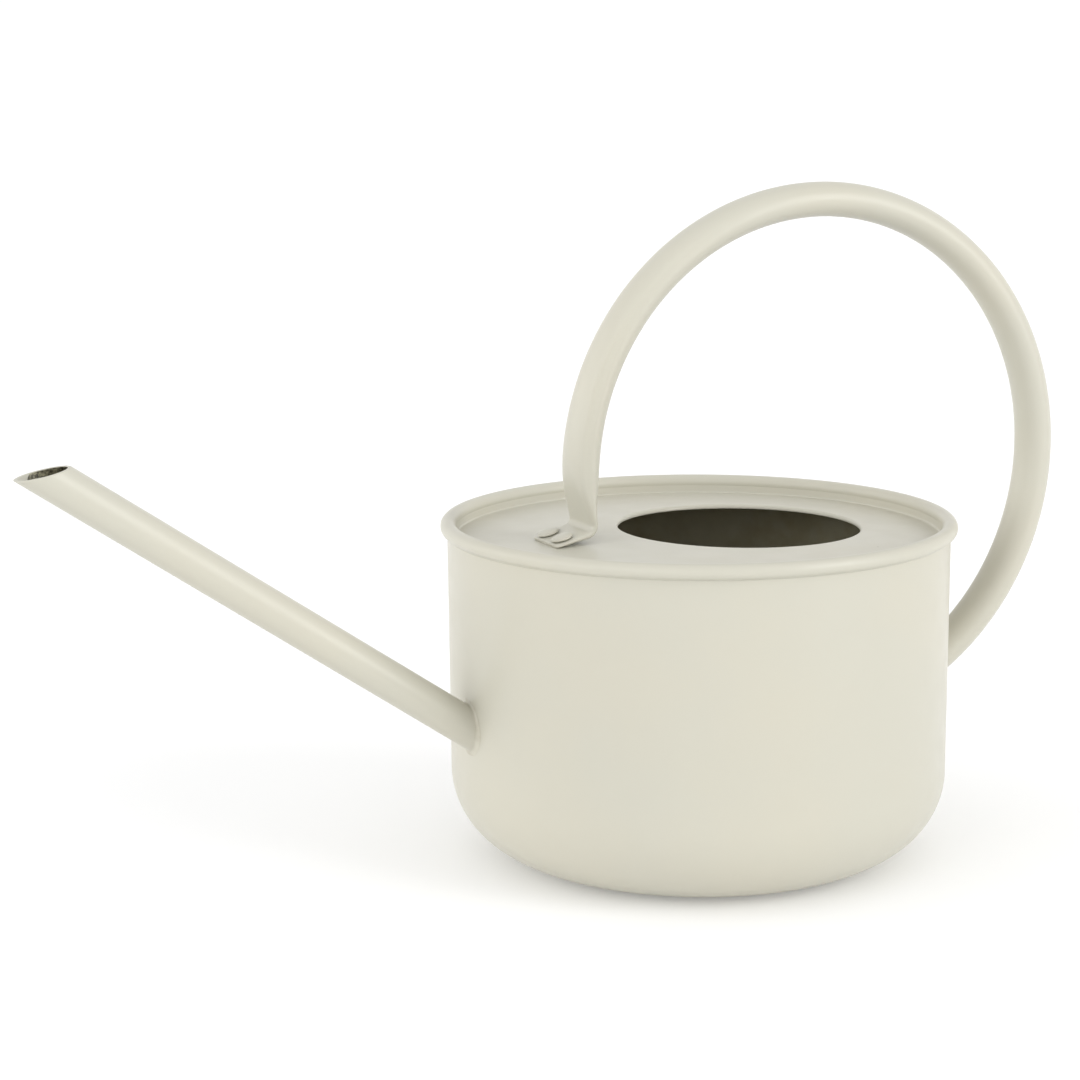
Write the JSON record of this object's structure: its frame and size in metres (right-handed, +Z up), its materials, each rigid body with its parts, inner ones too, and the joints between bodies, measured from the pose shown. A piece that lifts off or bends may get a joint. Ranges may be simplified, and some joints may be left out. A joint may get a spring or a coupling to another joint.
{
  "type": "watering can",
  "caption": "Round steel watering can with a sunk domed deck, a fill hole set back, a slim slanted spout and a tall ring handle riveted in front and welded behind.",
  "frame": {"origin": "centre of the flat base, on the surface the can stands on", "axes": "+Z up, -X towards the spout, +X towards the back of the handle, Y across; the can is symmetric about the XZ plane"},
  "size_m": [0.4261, 0.1984, 0.2584],
  "materials": {
    "cream_paint": "satin powder coat over steel"
  },
  "bodies": {
    "root": {"body_shell": "cream_paint", "top_deck": "cream_paint", "spout_tube": "cream_paint", "spout_weld": "cream_paint", "handle_tube": "cream_paint", "handle_weld": "cream_paint", "foot_rivets": "cream_paint"}
  },
  "joints": []
}
